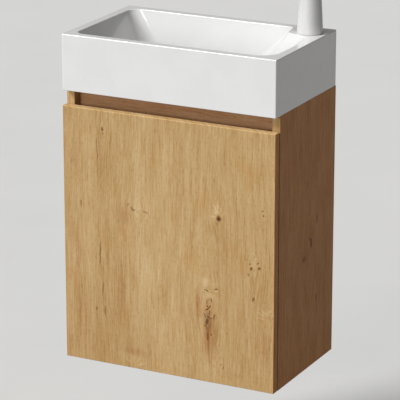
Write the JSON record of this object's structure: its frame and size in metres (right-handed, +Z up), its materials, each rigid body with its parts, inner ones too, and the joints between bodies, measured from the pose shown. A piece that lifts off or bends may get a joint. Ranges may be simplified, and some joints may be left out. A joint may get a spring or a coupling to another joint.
{
  "type": "wall-hung vanity unit",
  "caption": "Wall-hung cloakroom vanity unit: oak-look cabinet with one hinged door and a finger gap, under a deep white box basin with a corner mixer tap.",
  "frame": {"origin": "midway between the two wall-fixing holes of the upper rear rail, on the wall plane", "axes": "+Z up, +Y into the wall, so the front faces -Y, and +X to the right as seen from the front"},
  "size_m": [0.45, 0.268, 0.795],
  "materials": {
    "oak_board": "oak-look decor on 16 mm board, open grain with knots, matt lacquer",
    "basin_white": "glossy white glaze",
    "tap_white": "white coating, satin to glossy",
    "chrome": "bright chrome",
    "steel": "nickel-plated steel",
    "zinc": "zinc casting",
    "brass": "turned brass",
    "white_plastic": "moulded white polypropylene",
    "grey_plastic": "moulded grey plastic",
    "rubber": "black rubber",
    "clear_buffer": "clear soft buffer",
    "beech": "fluted beech"
  },
  "bodies": {
    "cabinet": {"left_side_panel": "oak_board", "right_side_panel": "oak_board", "bottom_panel": "oak_board", "front_rail": "oak_board", "wall_rail": "oak_board", "lower_rear_rail": "oak_board", "shelf": "oak_board", "basin": "basin_white", "tap_body": "tap_white", "waste_body": "chrome", "shelf_pins": "steel", "cam_bolts": "steel", "upper_hinge_arm": "steel", "lower_hinge_arm": "steel", "upper_hinge_plate": "steel", "lower_hinge_plate": "steel", "hinge_plate_screws": "steel", "hinge_arm_screws": "steel", "tap_stud": "steel", "tap_washer": "steel", "cam_locks": "zinc", "tap_nut": "brass", "cartridge_nut": "brass", "inlet_bushes": "brass", "trap_coupling_nut": "white_plastic", "trap_inlet_pipe": "white_plastic", "trap_body": "white_plastic", "trap_body_nut": "white_plastic", "trap_cup": "white_plastic", "trap_outlet_nut": "white_plastic", "trap_outlet_pipe": "white_plastic", "waste_locknut": "white_plastic", "mixer_cartridge": "white_plastic", "spout_aerator": "grey_plastic", "waste_gasket": "rubber", "trap_seals": "rubber", "tap_base_seal": "rubber", "dowels": "beech"},
    "door": {"door_panel": "oak_board", "upper_hinge_cup": "steel", "lower_hinge_cup": "steel", "upper_hinge_pin": "steel", "lower_hinge_pin": "steel", "hinge_cup_screws": "steel", "door_bumpers": "clear_buffer"},
    "waste_plug": {"waste_plug": "chrome"},
    "mixer_stem": {"mixer_stem": "brass", "lever_pin": "steel"},
    "tap_lever": {"tap_lever": "tap_white"}
  },
  "joints": [
    {"name": "door_hinge", "type": "hinge", "parent": "cabinet", "child": "door", "pos_m": [-0.2175, -0.261, -0.225], "axis": [0, 0, -1], "range_deg": [0, 95]},
    {"name": "plug_slide", "type": "slide", "parent": "cabinet", "child": "waste_plug", "axis": [0, 0, 1], "range_m": [0, 0.006]},
    {"name": "mixer_swivel", "type": "hinge", "parent": "cabinet", "child": "mixer_stem", "pos_m": [0.191, -0.048, 0.298], "axis": [0, 0, 1], "range_deg": [-45, 45]},
    {"name": "lever_lift", "type": "hinge", "parent": "mixer_stem", "child": "tap_lever", "pos_m": [0.191, -0.048, 0.298], "axis": [-0.3714, 0.9285, 0], "range_deg": [0, 22]}
  ]
}
